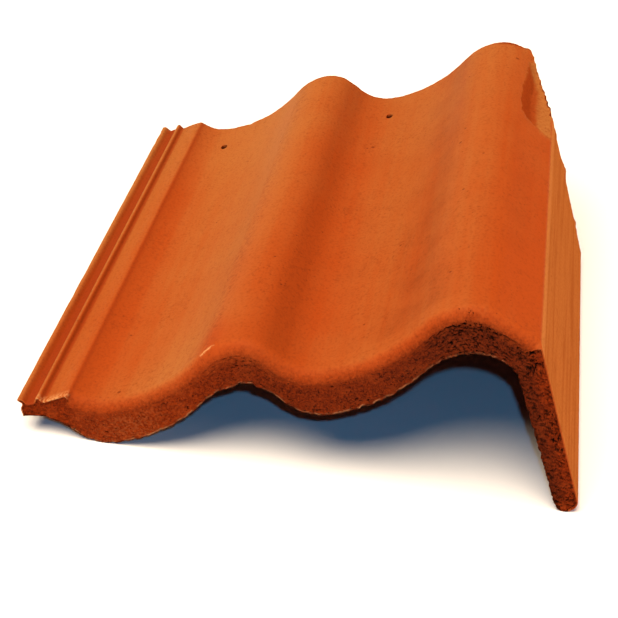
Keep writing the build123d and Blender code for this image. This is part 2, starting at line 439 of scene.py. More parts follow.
print("crumbs are", ROLL_CRUMB, "mm in the roll and", FLANGE_CRUMB, "mm in the flange")

# %% Cracks, and which rows are the eave end
CRACK_SIZE, CRACK_WIDTH, CRACK_PATCH = 4.5, 0.10, 7.0


def cracks(nearest, arc, across):
    """Short dark cracks in the bull-nose of the last roll, from 0 to 1."""
    points = np.column_stack([length_along[nearest], arc, np.full(len(arc), 7.7)])
    ridge = np.clip(1 - np.abs(grain(points, CRACK_SIZE, 2)) / CRACK_WIDTH, 0, 1)
    patch = smooth(-0.05, 0.25, grain(points + 40, CRACK_PATCH, 2))
    return ridge * patch * bell(across, 316, 22) * smooth(1, 4, arc)


flat = np.column_stack([section.reshape(-1, 2), up.ravel()])
rows = section.shape[1]
row = np.tile(np.arange(rows), len(upper))
column = np.repeat(np.arange(len(upper)), rows)
first_bull = BODY_ROWS + NECK_ROWS
first_front = first_bull + BULL_ROWS + 1
last_front = first_front + FRONT_ROWS
front = np.flatnonzero((row >= first_front - 1) & (row < last_front))
bulls = np.flatnonzero((row >= first_bull) & (row < first_front - 1))
print("points on the front", len(front), "and on the bull-nose", len(bulls))

# %% Tear the front, wear the bull-nose
GRAIN_DEPTH, PORE_DEPTH, CRACK_DEPTH, LAP_TEAR, TIP_CRUMBLE = 0.85, 1.9, 1.0, 1.1, 2.6
BULL_WEAR, WEAR_BACK = 0.5, 0.5

points = flat[front]
front_place = points[:, 0], points[:, 1]
torn = GRAIN_DEPTH * (0.55 + 0.6 * grain(points, 2.4, 4)) + PORE_DEPTH * pores(*front_place)
torn += CRACK_DEPTH * (layers(*front_place) + crumbs(*front_place))
torn += LAP_TEAR * smooth(40, 34, points[:, 0]) * (0.5 + grain(points + (0, 0, 50), 5.0))
at_tip = smooth(-112, -124, points[:, 1])
torn += TIP_CRUMBLE * at_tip * np.clip(0.25 + grain(points + (0, 0, 70), 3.6), 0, None)
flat[front, 2] += np.clip(torn, 0.0, None)

bull_row = row[bulls] - first_bull
sink = BULL_WEAR * smooth(0.25, 1.0, bull_row / BULL_ROWS)
sink = sink * np.clip(0.45 + 0.6 * grain(flat[bulls], 3.2, 4), 0, None)
sink += CRACK_DEPTH * cracks(column[bulls], BULLNOSE * turn[bull_row], flat[bulls, 0])
flat[bulls, :2] += sink[:, None] * inward[column[bulls]]
flat[bulls, 2] += WEAR_BACK * sink
print("deepest tear", torn.max().round(2), "mm, deepest wear", sink.max().round(2), "mm")

# %% Ragged lower edge
RAGGED, FINE_RAGGED, ROLL_NOTCH, RAGGED_ROWS, RAGGED_REACH = 1.4, 0.6, 1.8, 8, 9

line_at = np.column_stack([length_along, np.zeros(len(upper)), np.zeros(len(upper))])
lift = RAGGED * np.clip(0.20 + grain(line_at, 5.5, 4), 0, None)
lift = lift + FINE_RAGGED * np.clip(grain(line_at + 30, 2.3, 2), 0, None)
lift = lift + ROLL_NOTCH * smooth(150, 168.5, upper[:, 0]) * smooth(171.5, 169, upper[:, 0])
lift = lift * smooth(4, 12, thick)
lift_share = np.where(
    row < last_front,
    smooth(last_front - RAGGED_ROWS - 1, last_front - 1, row),
    smooth(RAGGED_REACH, 2, flat[:, 2]),
)
nose_last = last_front + NECK_ROWS + BULL_ROWS
ragged = np.flatnonzero((row >= last_front - RAGGED_ROWS) & (row < nose_last))
flat[ragged, :2] -= (lift[column] * lift_share)[ragged, None] * inward[column[ragged]]
lower_edge = flat[row == last_front - 1][:crease_column, :2]
print("lower edge is ragged by up to", lift.max().round(1), "mm")

# %% Chipped flange corner and lap end
CHIP_DEPTH, CHIP_ROWS, LAP_NOTCH = 1.5, 7, 2.8

chip = CHIP_DEPTH * np.clip(0.10 + grain(line_at + 60, 3.4, 4), 0, None) * smooth(3, 9, thick)
chip_share = np.where(
    row < first_front,
    smooth(first_bull, first_front - 1, row),
    smooth(first_front + CHIP_ROWS, first_front - 1, row),
)
by_corner = (row >= first_bull) & (row < first_front + CHIP_ROWS)
chipped = np.flatnonzero(by_corner & (column > crease_column + 4))
flat[chipped, :2] += (chip[column] * chip_share)[chipped, None] * inward[column[chipped]]

lap_end = np.flatnonzero((flat[:, 0] < 6) & (flat[:, 2] < 14))
notch = LAP_NOTCH * bell(flat[lap_end, 1], 9.5, 2.6)
flat[lap_end, 0] += notch * smooth(14, 3, flat[lap_end, 2]) * smooth(6, 1, flat[lap_end, 0])
print("flange corner is chipped by up to", chip.max().round(1), "mm")

# %% Uneven head edge, lip and skin
NICKS, FINE_NICKS, HEAD_NOTCH, WAVINESS, LIP, DENTS = 1.1, 0.6, 2.0, 0.16, 0.5, 0.25

head = smooth(14, 0, TILE_LENGTH - flat[:, 2])
uneven = np.flatnonzero(head > 0)
spot = flat[uneven] * (1, 1, 0)
nicks = NICKS * np.clip(0.3 + grain(spot, 9.0), 0, None)
nicks = nicks + FINE_NICKS * np.clip(grain(spot, 2.5), 0, None)
nicks += HEAD_NOTCH * bell(flat[uneven, 0], 81, 2.6)
flat[uneven, 2] -= head[uneven] * nicks

skin = np.flatnonzero(row < first_bull)
waviness = WAVINESS * (0.5 + 0.5 * grain(flat[skin] * (1, 1, 0.35), 26.0, 2))
lip = smooth(7, 2, flat[skin, 0]) * LIP * np.clip(grain(flat[skin], 4.0), 0, None)
flat[skin, :2] += (waviness + lip)[:, None] * inward[column[skin]]

hidden = np.flatnonzero((row >= last_front + 1) & (row < rows - HEAD_ROWS))
cast = DENTS * (0.5 + 0.5 * grain(flat[hidden], 7.0)) * (thick[column[hidden]] > 6)
flat[hidden, :2] -= cast[:, None] * inward[column[hidden]]
print("head edge is nicked by up to", round(float(nicks.max()), 1), "mm")

# %% [markdown]
# ## From rows to a solid
# The rows become quads. First and last column close on themselves, so their points fall together
# and are merged. Each face remembers which side of the tile it is on by its material number: the
# Boolean steps that follow keep these numbers, and the finish later reads them back.

# %% Mesh helpers
WEATHER, STRUCK, HIDDEN, CUT = range(4)
MERGE = 0.002 * MM


def solid_from_grid(name, places, sides):
    """Closed mesh from a grid of columns and rows, the rows running round; sides is per row."""
    columns, count = places.shape[:2]
    index = np.arange(columns * count).reshape(columns, count)
    ring = np.roll(index, -1, axis=1)
    quads = np.stack([index[:-1], ring[:-1], ring[1:], index[1:]], axis=-1).reshape(-1, 4)
    mesh = bpy.data.meshes.new(name)
    mesh.from_pydata(places.reshape(-1, 3).tolist(), [], quads.tolist())
    mesh.polygons.foreach_set("material_index", np.tile(sides, columns - 1).astype(np.int32))
    return mesh


def close_up(mesh):
    """Merges points that fall together, fills open ends and turns the faces outwards."""
    bm = bmesh.new()
    bm.from_mesh(mesh)
    bmesh.ops.remove_doubles(bm, verts=bm.verts, dist=MERGE)
    bmesh.ops.dissolve_degenerate(bm, edges=bm.edges, dist=MERGE)
    open_edges = [e for e in bm.edges if len(e.link_faces) == 1]
    if open_edges:
        bmesh.ops.holes_fill(bm, edges=open_edges, sides=0)
    bmesh.ops.recalc_face_normals(bm, faces=bm.faces)
    if bm.calc_volume(signed=True) < 0:
        bmesh.ops.reverse_faces(bm, faces=bm.faces)
    loose = sum(len(e.link_faces) != 2 for e in bm.edges)
    bm.to_mesh(mesh)
    bm.free()
    return loose


def set_side(mesh, side):
    """Puts every face of the mesh on one side."""
    mesh.polygons.foreach_set("material_index", np.full(len(mesh.polygons), side, np.int32))


def make_piece(name, mesh):
    """Object with one slot for each side of the tile, linked to the scene."""
    for _ in range(CUT + 1):
        mesh.materials.append(None)
    return add_object(name, mesh)


print("sides are numbered", WEATHER, STRUCK, HIDDEN, CUT)

# %% Build the solid
side_of_row = np.full(rows, HIDDEN)
side_of_row[: first_front - 1] = WEATHER
side_of_row[first_front - 1 : last_front - 1] = STRUCK
side_of_row[rows - HEAD_ROWS - 1 : rows] = CUT

places = to_row(flat[:, 0], flat[:, 1], flat[:, 2]).reshape(len(upper), rows, 3)
tile = make_piece("verge_tile_skin", solid_from_grid("verge_tile_skin", places, side_of_row))
loose_edges = close_up(tile.data)
print("edges that aren't between two faces:", loose_edges, "faces:", len(tile.data.polygons))

# %% [markdown]
# ## Head lap
# Behind the flange the tile is narrowed, so that the next tile up the roof can lap over it: the
# flange stops short, the shoulder tapers and a rebate runs along it. These places are pressed less
# cleanly, so their edges are torn and their walls darker, partly from bare concrete and partly from
# painted shade. Each is taken out with a Boolean modifier. The cutters are lofted grids with rough
# faces, so the cut itself comes out rough.
# Modelled into the strip, the cuts would break its even rows.

# %% Rings for the cutters
CUTTER_STEP = 3.0


def box_ring(left, low, right, high):
    """Corners of a square section."""
    return [(left, low), (right, low), (right, high), (left, high)]


def even_rings(corner_lists):
    """Rings with the same number of points, spaced as on the first."""
    first = corner_lists[0]
    shares = [
        max(2, int(math.dist(a, b) / CUTTER_STEP)) for a, b in zip(first, first[1:] + first[:1])
    ]
    rings = []
    for corners in corner_lists:
        ring = []
        for a, b, count in zip(corners, corners[1:] + corners[:1], shares):
            run, fall = b[0] - a[0], b[1] - a[1]
            ring += [(a[0] + run * i / count, a[1] + fall * i / count) for i in range(count)]
        rings.append(np.array(ring))
    return rings


print("cutters have points every", CUTTER_STEP, "mm")

# %% Rough lofted blocks
PAST_HEAD = 12


def solid_piece(name, points, side):
    """Closed piece from a grid of points in the tile's measures, all on one side."""
    places = to_row(points[..., 0], points[..., 1], points[..., 2])
    mesh = solid_from_grid(name, places, np.full(points.shape[1], side))
    loose = close_up(mesh)
    set_side(mesh, side)
    print(name, "has", len(mesh.polygons), "faces, open edges", loose)
    return make_piece(name, mesh)


def lofted(name, stations, corner_lists, side, rough, size):
    """Block through the sections at their stations up the tile, roughened by lumps of that size."""
    rings = zip(stations, even_rings(corner_lists))
    shape = np.array([np.column_stack([ring, np.full(len(ring), s)]) for s, ring in rings])
    points = shape.reshape(-1, 3)
    push = rough * np.column_stack([grain(points + shift, size) for shift in (0, 100, 200)])
    return solid_piece(name, (points + push).reshape(shape.shape), side)


def head_cut(name, start, section_at, rough, size):
    """Cutter from start to past the head end."""
    stations = np.arange(start, TILE_LENGTH + PAST_HEAD, CUTTER_STEP)
    return lofted(name, stations, [section_at(s) for s in stations], CUT, rough, size)


print("cutters run", PAST_HEAD, "mm past the head")

# %% Flange end and taper
FLANGE_END, HEAD_TAPER = 322.0, 16.5
INSIDE_FLANGE, BELOW_FLANGE, BESIDE_FLANGE = 331.0, -140.0, 8
TAPER_HALF, BESIDE_TAPER = 60.0, 30


def flange_section(s):
    """Section of the cut behind the flange, the same all the way."""
    return box_ring(INSIDE_FLANGE, BELOW_FLANGE, TILE_WIDTH + BESIDE_FLANGE, ROOT[1])


def taper_section(s):
    """Section of the taper: a block beside the shoulder's edge, which moves in towards the head."""
    edge = TILE_WIDTH - HEAD_TAPER * (s - FLANGE_END) / (TILE_LENGTH - FLANGE_END)
    return box_ring(edge, -TAPER_HALF, TILE_WIDTH + BESIDE_TAPER, TAPER_HALF)


flange_cut = head_cut("flange_cut", FLANGE_END, flange_section, 0.45, 5.0)
taper_cut = head_cut("taper_cut", FLANGE_END - CUTTER_STEP, taper_section, 1.6, 6.0)

# %% Rebate
REBATE_START, REBATE_EDGE, REBATE_FLOOR, FLOOR_FALL = 284.0, 334.0, 8.0, 0.6
FLOOR_WIDTH, REBATE_HIGH, WALL_FOOT, WALL_LEAN = 42, 33, 4.0, 12


def rebate_section(s):
    """Section of the rebate: a leaning wall and a floor that falls outwards; both ends run out."""
    moved = 18 * math.exp(-(s - REBATE_START) / 6.5)
    moved = moved + 1.8 * smooth(345, 395, s) + 9 * smooth(396, 414, s)
    foot = (REBATE_EDGE + moved + WALL_FOOT, REBATE_FLOOR - FLOOR_FALL * moved)
    out = (foot[0] + FLOOR_WIDTH, foot[1] - FLOOR_WIDTH * FLOOR_FALL)
    top = foot[1] + REBATE_HIGH
    return [foot, out, (out[0], top), (foot[0] - WALL_LEAN, top)]


rebate_cut = head_cut("rebate_cut", REBATE_START, rebate_section, 0.8, 6.0)

# %% [markdown]
# ## Nail holes and hanging nibs
# A pin in the mould leaves one hole low in each pan near the head. On the underside two nibs hook
# over the roof batten; they can't be seen in the photograph and are kept plain. Both are made by
# the same Boolean steps. Drilling in edit mode would be quicker, but wouldn't follow a new size.

# %% Nail pins
PANS = (FIRST_PAN, FIRST_PAN + PITCH)
NAIL_UP, NAIL_RADIUS, PIN_SIDES = 383.0, 2.5, 24
around = np.linspace(0, 2 * math.pi, PIN_SIDES, endpoint=False)


def nail_pin(pan, name):
    """Pin square to the tile, a little rough, widened up the roof where it leaves the pan."""
    levels = np.linspace(-22, 14, 19)
    points = np.array([
        np.column_stack([
            pan + (NAIL_RADIUS + 0.3 * wide) * np.cos(around),
            np.full(PIN_SIDES, level),
            NAIL_UP - 0.8 * wide + (NAIL_RADIUS + 1.9 * wide) * np.sin(around),
        ])
        for wide, level in zip(smooth(-4, 2, levels), levels)
    ])
    points[..., 0] += 0.2 * grain(points.reshape(-1, 3), 2.0).reshape(points.shape[:2])
    return solid_piece(name, points, CUT)


pins = [nail_pin(pan, f"nail_pin_{i}") for i, pan in enumerate(PANS)]
print("nail pins stand at", NAIL_UP, "mm up the tile")

# %% Nibs
NIB_HALF, NIB_LOW, NIB_HIGH, NIB_INSET = 22.0, -27.73, -7.0, 0.8
NIB_STATIONS = np.concatenate([[394.0], 394.6 + np.linspace(0, 1, 10) * 16.8, [412.0]])


def nib(pan, name):
    """Block with eased ends under a pan, from inside the wall down to the level of the nose."""
    sections = []
    for s in NIB_STATIONS:
        inset = NIB_INSET if s in (NIB_STATIONS[0], NIB_STATIONS[-1]) else 0.0
        corners = box_ring(pan - NIB_HALF, NIB_LOW, pan + NIB_HALF, NIB_HIGH)
        sections.append(
            [(u + math.copysign(inset, pan - u), max(w, NIB_LOW + inset)) for u, w in corners]
        )
    return lofted(name, NIB_STATIONS, sections, HIDDEN, 0.0, 6.0)


nibs = [nib(pan, f"nib_{i}") for i, pan in enumerate(PANS)]

# %% Cut and join
def combine(target, tool, operation):
    """Boolean of the target with a tool, kept in the target's own mesh; the tool is removed."""
    step = target.modifiers.new(operation.lower(), "BOOLEAN")
    step.operation = operation
    step.solver = "MANIFOLD"
    step.object = tool
    ready = target.evaluated_get(bpy.context.evaluated_depsgraph_get())
    made = bpy.data.meshes.new_from_object(ready)
    target.modifiers.clear()
    spent = target.data
    target.data = made
    bpy.data.meshes.remove(spent)
    bpy.data.objects.remove(tool)
    print(operation.lower(), "leaves", len(made.polygons), "faces")


for tool in (flange_cut, taper_cut, rebate_cut, *pins):
    combine(tile, tool, "DIFFERENCE")
for tool in nibs:
    combine(tile, tool, "UNION")
skin_mesh = tile.data
skin_mesh.name = "verge_tile_skin"

# %% [markdown]
# ## Burrs
# Where the flange stops, wet concrete was pushed out a little, and the head's right corner has a
# small burr. Both are too small for a piece of their own, so the points there are moved outwards by
# soft steps, and everything is kept inside the CAD box. A sculpted bump would do as well.

# %% Push out the burrs
END_LUMPS = ((2.0, -47, 7), (1.1, -97, 3))
HEAD_BURR = 2.6


def read(items, key, width, kind):
    """Values of one property of all points, faces or corners, as an array."""
    values = np.zeros(len(items) * width, kind)
    items.foreach_get(key, values)
    return values.reshape(-1, width) if width > 1 else values


place = read(skin_mesh.vertices, "co", 3, float)
count = len(place)
across, rise, up_tile = to_tile(place)
on_end = smooth(351.5, 353, across) * bell(up_tile, FLANGE_END - 1, 4) * smooth(-6, -12, rise)
lumps = sum(high * bell(rise, middle, width) for high, middle, width in END_LUMPS)
lumps = lumps + 0.5 * np.clip(grain(place / MM, 7.0), 0, 1)
place += (MM * on_end * lumps)[:, None] * ACROSS
burr = HEAD_BURR * smooth(331, 336, across) * smooth(402, 417, up_tile) * smooth(6, 14, rise)
place += (MM * burr)[:, None] * RISE
place = np.clip(place, np.array(cad_box[0]), np.array(cad_box[1]))
skin_mesh.vertices.foreach_set("co", place.ravel())
skin_mesh.update()
print("burrs stand out by up to", round(float((on_end * lumps).max()), 1), "mm")

# %% [markdown]
# ## Marks that the finish reads
# The finish needs to know where the coating is, where concrete is bare, where pores sit and where
# lime has bloomed. These marks are worked out once per point from its place, its direction and the
# side it came from, and stored as attributes. Painting by hand could do the same, but it
# wouldn't follow a change of shape.

# %% Measure every point
direction = read(skin_mesh.vertex_normals, "vector", 3, float)
across, rise, up_tile = to_tile(place)
facing = direction @ ACROSS

corner_point = read(skin_mesh.loops, "vertex_index", 1, np.int32)
face_size = read(skin_mesh.polygons, "loop_total", 1, np.int32)
corner_side = np.repeat(read(skin_mesh.polygons, "material_index", 1, np.int32), face_size)


def share_of(side):
    """For every point, the share of its faces that are on that side."""
    hits = np.bincount(corner_point, corner_side == side, count)
    return hits / np.maximum(np.bincount(corner_point, minlength=count), 1)


struck, hidden_side, cut_side = share_of(STRUCK), share_of(HIDDEN), share_of(CUT)
sides = {"struck": struck, "hidden": hidden_side, "cut": cut_side}
print("points", count, {name: int((share > 0.5).sum()) for name, share in sides.items()})

# %% Where the concrete is bare
near_eave = np.flatnonzero((up_tile < 14) & (hidden_side < 0.5))
below = to_upper(across[near_eave], rise[near_eave])[1]
arc = np.zeros(count)
arc[near_eave] = nose_arc(below)
at_first_roll, at_second_pan = bell(across, FIRST_ROLL, 30), bell(across, SECOND_PAN, 25)
fade_from = -2.0 + 2.0 * at_first_roll - 2.2 * at_second_pan + 0.6 * bell(across, LAST_ROLL, 24)
fade_to = 20.5 + 4.5 * at_first_roll
fade = np.clip((arc - fade_from) / (fade_to - fade_from), 0, 1) * (arc > 0)
plain_end = np.maximum(smooth(39, 36, across), smooth(-4, -9, rise) * (across > 330)) * struck
chips = np.zeros(count)
on_chip = (across[near_eave] > 345) * smooth(-3, -6, rise[near_eave])
chips[near_eave] = smooth(0.5, 1.1, below) * on_chip

in_rebate = cut_side * (across > 325) * (rise > -4)
foot_line = 343.0 - 6.5 * smooth(350, 400, up_tile)
rebate_wall = in_rebate * smooth(foot_line + 1.5, foot_line - 1.5, across)
holes = cut_side * sum(bell(np.hypot(across - pan, up_tile - NAIL_UP), 0, 5) for pan in PANS)
head_line = 0.5 * smooth(416, 419.5, up_tile)
head_line = head_line + 0.5 * smooth(413.5, 417, up_tile) * bell(across, 321, 11)
past_flange = np.clip(up_tile - FLANGE_END, 0, None)
taper_edge = TILE_WIDTH - HEAD_TAPER * past_flange / (TILE_LENGTH - FLANGE_END)
rim = smooth(0.66, 0.84, facing) * smooth(5, 2, taper_edge - across)
rim = rim * smooth(-30, -20, rise) * smooth(392, 376, up_tile)
rim = cut_side * np.maximum(rim, smooth(350, 352, across) * bell(rise, -47, 13))

# The rebate wall is made partly bare: rough concrete, and with it painted shade.
bare = np.maximum.reduce(
    [fade, plain_end, chips, 0.30 * rebate_wall, holes, head_line, rim, 0.25 * cut_side]
)
bare = np.where(hidden_side > 0.5, 1.0, np.clip(bare, 0, 1))
print("bare share", bare.mean().round(3))

# %% Pores, rubbed places and lime
pore = np.zeros(count)
at_front = np.flatnonzero((struck > 0) & (up_tile < 8))
front_place = across[at_front], rise[at_front]
pore[at_front] = np.maximum.reduce([
    pores(*front_place),
    (0.8 - 0.25 * (rise[at_front] < -8)) * layers(*front_place),
    crumbs(*front_place),
])
# Deep in the nail holes the pore colour is painted shade.
pore = np.maximum.reduce([pore, 0.7 * holes * smooth(1.5, -1.5, rise), 0.45 * rim])
on_nose = near_eave[(struck[near_eave] < 1) & (across[near_eave] > 260)]
nose_column = to_upper(across[on_nose], rise[on_nose])[0]
pore[on_nose] = np.maximum(pore[on_nose], cracks(nose_column, arc[on_nose], across[on_nose]))

RUB_ACROSS, RUB_UP, RUB_SLOPE = 141.0, 6.2, 0.22
off_rub = np.abs(up_tile - RUB_UP - RUB_SLOPE * (across - RUB_ACROSS))
rub = smooth(1.0, 0.4, off_rub + smooth(4.5, 6, np.abs(across - RUB_ACROSS)))
rib_rub = (bell(across, 15.4, 1.3) + bell(across, 35.0, 2.2)) * smooth(6, 2.5, up_tile)
rib_rub = rib_rub * smooth(8, 10, rise)
lap_rub = 0.8 * smooth(16, 18, across) * smooth(37, 35, across)
lap_rub = lap_rub * smooth(2.6, 1.2, up_tile) * smooth(7, 8.5, rise)
rub = np.maximum.reduce([rub, 0.9 * rib_rub, lap_rub]) * (hidden_side < 0.5) * (up_tile < 12)

reach = np.interp(across, *lower_edge[np.argsort(lower_edge[:, 0])].T)
lime = smooth(1.3, 0.3, np.abs(rise - reach)) * smooth(6, 1, up_tile)
lime = lime * (across < 333) * (across > 30)
lime = lime * (1 - 0.6 * smooth(235, 285, across) - 0.35 * bell(across, FIRST_ROLL, 26))
print("pore share", (pore > 0.5).mean().round(4), "lime share", (lime > 0.5).mean().round(4))

# %% Dust and painted sheen, wear and painted shade, painted shade in the recesses
# The flange face takes one high value: its dusty, streaked coat plus painted light from the right.
FLANGE_DUST_AND_LIGHT = 0.88
on_flange = smooth(352.0, 353.2, across) * smooth(-1, -4, rise) * smooth(0.7, 0.95, facing)
streaked = on_flange * smooth(-7, -13, rise)
low_flank = bell(across, 275, 24) * smooth(120, 30, up_tile)
on_shoulder = bell(across, 338, 13) * smooth(40, 140, up_tile)

# Real dust on the coat, plus painted sheen: paler on faces turned left and towards the head, a
# painted highlight on the lap's lip and rib, and a lighter right flank of the first roll.
dust_and_sheen = 0.42 - 0.42 * facing + 0.0009 * (up_tile - 180) + 0.05 * bell(across, 118, 18)
dust_and_sheen += (
    0.35 * smooth(5.0, 4.0, across) + 0.25 * bell(across, 15.4, 1.3) + 0.04 * bell(across, 31, 5)
)
dust_and_sheen -= 0.24 * bell(across, 272, 24) + 0.06 * at_second_pan + 0.07 * bell(across, 42, 14)
dust_and_sheen += (
    0.12 * smooth(70, 5, up_tile) * (1 - bell(across, FIRST_ROLL, 24))
    + 0.10 * bell(across, 98, 24) * smooth(170, 60, up_tile)
)
dust_and_sheen += 0.05 * low_flank - 0.28 * bell(across, RUB_ACROSS, 10) * smooth(60, 15, up_tile)
dust_and_sheen += (
    0.07 * on_shoulder
    + 0.06 * smooth(250, 400, up_tile) * smooth(130, 60, across)
    + 0.05 * bell(across, 180, 13)
)
# Round the nose the paler tone fades. The rebate's floor is made paler as painted light.
dust_and_sheen = dust_and_sheen * (1 - 0.65 * smooth(1, 9, arc)) + 0.9 * in_rebate * (1 - rebate_wall)
dust_and_sheen = np.clip(np.where(on_flange > 0.5, FLANGE_DUST_AND_LIGHT, dust_and_sheen), 0, 1)

# Dark mottled wear on the second roll's left flank and the second pan, and painted shade on the
# right-facing shoulder.
wear_and_shade = bell(across, 274, 20) + 0.75 * on_shoulder
wear_and_shade = wear_and_shade + 0.45 * bell(across, SECOND_PAN, 26) + 0.9 * low_flank
wear_and_shade = wear_and_shade * (up_tile > 20) * (hidden_side < 0.5)
# Painted shade: in the lap's groove, beside its step, along the pan edge and on the rebate's wall.
recess_shade = np.maximum.reduce([
    smooth(4.6, 6.8, across) * smooth(13.2, 11.4, across),
    0.8 * bell(across, 18.6, 1.4),
    0.5 * bell(across, 38.0, 1.3),
    0.6 * rebate_wall,
])
# The bare front goes darker towards the flange as painted shade, and opens more pores there.
dark_end = smooth(90, 190, across) * 0.55 + smooth(230, 300, across) * 0.45
dark_end = dark_end * smooth(7, 19, arc)
pale_end = bell(across, 72, 30) * smooth(12, 20, arc)
print("mean dust", dust_and_sheen.mean().round(3), "dirt share", (recess_shade > 0.5).mean().round(3))

# %% Store the marks
marks = {
    "bare": bare, "pore": pore, "lime": lime, "rub": rub,
    "dust_and_sheen": dust_and_sheen, "wear_and_shade": wear_and_shade, "recess_shade": recess_shade, "dark_end": dark_end, "pale_end": pale_end,
    "flange": on_flange, "edge_on": np.maximum(on_flange, in_rebate), "streaked": streaked,
    "hidden": hidden_side,
}
for name, values in marks.items():
    stored = skin_mesh.attributes.new(name, "FLOAT", "POINT")
    stored.data.foreach_set("value", values.astype(np.float32))
where = skin_mesh.attributes.new("tile", "FLOAT_VECTOR", "POINT")
tile_points = (MM * np.column_stack([across, rise, up_tile])).astype(np.float32)
where.data.foreach_set("vector", tile_points.ravel())
print("stored", len(marks), "marks and the tile's own measures")

# %% [markdown]
# ## Finish
# The weather side carries a thin matt coating over coloured concrete. It is orange, a little
# uneven, with fine dark specks, small pits and lengthwise marks from the roller. Bare places show
# dark red-brown grains and black pores. All of it comes from noise textures in one material, so
# that the coating can fade out over the bull-nose as it does on the real tile.

# %% Node helpers
finish = bpy.data.materials.new("coated_concrete")
finish.use_nodes = True
tree = finish.node_tree
shader = tree.nodes["Principled BSDF"]


def join(value, socket):
    """Links a socket's value or sets a plain one."""
    if isinstance(value, bpy.types.NodeSocket):
        tree.links.new(value, socket)
    else:
        socket.default_value = value


def node(kind, settings=None, **inputs):
    """Adds a node, sets its options and fills its inputs, by name or as i and a number."""
    made = tree.nodes.new(kind)
    for key, value in (settings or {}).items():
        setattr(made, key, value)
    for key, value in inputs.items():
        numbered = key[0] == "i" and key[1:].isdigit()
        join(value, made.inputs[int(key[1:]) if numbered else key])
    return made


def maths(operation, a, b=0.0):
    return node("ShaderNodeMath", {"operation": operation}, i0=a, i1=b).outputs[0]


def times(a, b):
    return maths("MULTIPLY", a, b)


def minus(a, b):
    return maths("SUBTRACT", a, b)


def mapped(value, low, high, start=0.0, end=1.0):
    """Takes value from low..high to start..end, clamped and soft."""
    soft = {"interpolation_type": "SMOOTHSTEP"}
    made = node("ShaderNodeMapRange", soft, i0=value, i1=low, i2=high, i3=start, i4=end)
    return made.outputs[0]


def blend(factor, a, b):
    """Mixes two colours by a factor."""
    return node("ShaderNodeMix", {"data_type": "RGBA"}, i0=factor, i6=a, i7=b).outputs[2]


def mark(name):
    return node("ShaderNodeAttribute", {"attribute_name": name}).outputs["Fac"]


print("node helpers ready for", finish.name)

# %% Noise over the tile
tile_place = node("ShaderNodeAttribute", {"attribute_name": "tile"}).outputs["Vector"]


def noise_at(scale, detail=3.0, stretch=(1, 1, 1), roughness=0.55, distortion=0.0):
    """Noise over the tile's own measures; stretch below 1 draws it out along that direction."""
    multiply = {"operation": "MULTIPLY"}
    moved = node("ShaderNodeVectorMath", multiply, i0=tile_place, i1=stretch).outputs[0]
    made = node("ShaderNodeTexNoise", Vector=moved, Scale=scale, Detail=detail)
    made.inputs["Roughness"].default_value = roughness
    made.inputs["Distortion"].default_value = distortion
    return made.outputs[0]


def dots_at(scale, size, amount):
    """Round specks of that size where a random value of their cell is under the amount."""
    cells = node("ShaderNodeTexVoronoi", Vector=tile_place, Scale=scale)
    chance = node("ShaderNodeSeparateColor", i0=cells.outputs["Color"]).outputs[0]
    chosen = maths("LESS_THAN", chance, amount)
    return times(mapped(cells.outputs["Distance"], size, 0.4 * size), chosen)


print("textures lie on", tile_place.node.attribute_name, "measures")

# %% [markdown]
# ## Coated face
# The coating is paler where dust lies, with painted sheen on faces turned left and towards the head,
# painted light on the flange face and the rebate floor and a painted highlight along the crease; it
# is deep red with painted shade in the grooves and on the rebate wall. It is marked with specks, pits
# and one rubbed place. Each of these is one more blend over the colour below, from large to small.
# A painted picture could hold it too, but would need a file.

# %% Colour of the coating
DEEP_ORANGE = (0.350, 0.053, 0.0070, 1)
DUST_AND_SHEEN_ORANGE = (0.368, 0.126, 0.0300, 1)
RECESS_SHADE_RED = (0.235, 0.028, 0.0048, 1)
FLANGE_FACE = (0.420, 0.122, 0.0265, 1)
STREAK = (0.310, 0.072, 0.0140, 1)
CREASE_HIGHLIGHT = (0.520, 0.180, 0.0480, 1)
SPECK = (0.150, 0.024, 0.0050, 1)

cloud = noise_at(16, 3)
streak = noise_at(150, 3, (1, 1, 0.03))
fine = noise_at(520, 3)
# The coat goes paler with dust and with the painted sheen and painted light of that mark.
pale = maths("ADD", mark("dust_and_sheen"), times(minus(cloud, 0.5), 0.35))
pale = maths("ADD", pale, times(minus(streak, 0.5), 0.30))
coat = blend(mapped(pale, 0.0, 1.0), DEEP_ORANGE, DUST_AND_SHEEN_ORANGE)
# The flange face is paler: its own dusty coat, brightened further as painted light from the right.
coat = blend(mark("flange"), coat, FLANGE_FACE)
lines = mapped(noise_at(100, 5, (1, 1, 0.06), distortion=0.8), 0.40, 0.68)
coat = blend(times(lines, times(mark("streaked"), 0.66)), coat, STREAK)
# A painted highlight runs down the flange just below the crease.
crease_highlight_band = minus(mark("flange"), mark("streaked"))
coat = blend(times(crease_highlight_band, 0.55), coat, CREASE_HIGHLIGHT)
# Painted shade: the grooves and the rebate wall turn deep red.
coat = blend(times(mark("recess_shade"), 0.85), coat, RECESS_SHADE_RED)
coat = blend(mapped(fine, 0.43, 0.78, 0.0, 0.38), coat, SPECK)
print("coating has", len(tree.nodes), "nodes so far")

